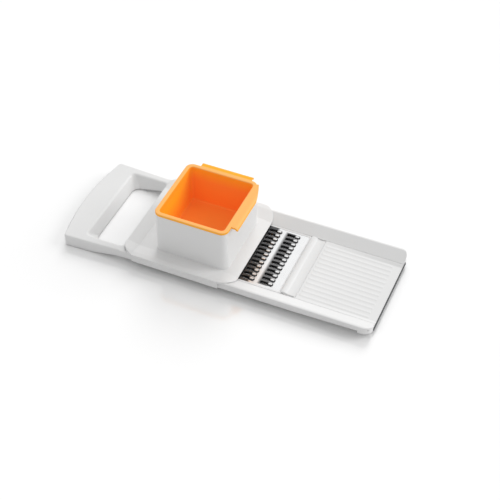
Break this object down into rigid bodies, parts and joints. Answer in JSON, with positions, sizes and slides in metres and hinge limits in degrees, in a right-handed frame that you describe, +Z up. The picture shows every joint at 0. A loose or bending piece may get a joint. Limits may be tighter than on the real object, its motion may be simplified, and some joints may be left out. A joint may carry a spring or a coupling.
{
  "type": "mandoline slicer",
  "caption": "Flat hand-held mandoline slicer with loop handle, ribbed ramp, toothed julienne plate, sliding square food carriage on rails and a lift-out pusher cup.",
  "frame": {"origin": "middle of the footprint on the worktop, under the body", "axes": "+X from the handle to the ramp end, +Y across to the far rail, +Z up"},
  "size_m": [0.351, 0.1274, 0.065],
  "materials": {
    "body_white": "satin moulded",
    "ramp_white": "satin moulded",
    "insert_white": "satin moulded",
    "carriage_white": "satin moulded",
    "runner_white": "low-friction moulded",
    "steel": "bright rolled",
    "rubber_grey": "matt",
    "pusher_orange": "gloss moulded"
  },
  "bodies": {
    "frame": {"body_frame": "body_white", "ramp_deck": "ramp_white", "step_bar": "insert_white", "blade_carrier": "insert_white", "julienne_blade": "steel", "end_strip": "rubber_grey", "handle_foot_near": "rubber_grey", "handle_foot_far": "rubber_grey"},
    "carriage": {"carriage": "carriage_white", "runner_near": "runner_white", "runner_far": "runner_white"},
    "pusher": {"pusher_cup": "pusher_orange"}
  },
  "joints": [
    {"name": "carriage_slide", "type": "slide", "parent": "frame", "child": "carriage", "axis": [1, 0, 0], "range_m": [0, 0.14]},
    {"name": "pusher_lift", "type": "slide", "parent": "carriage", "child": "pusher", "axis": [0, 0, 1], "range_m": [0, 0.044]}
  ]
}
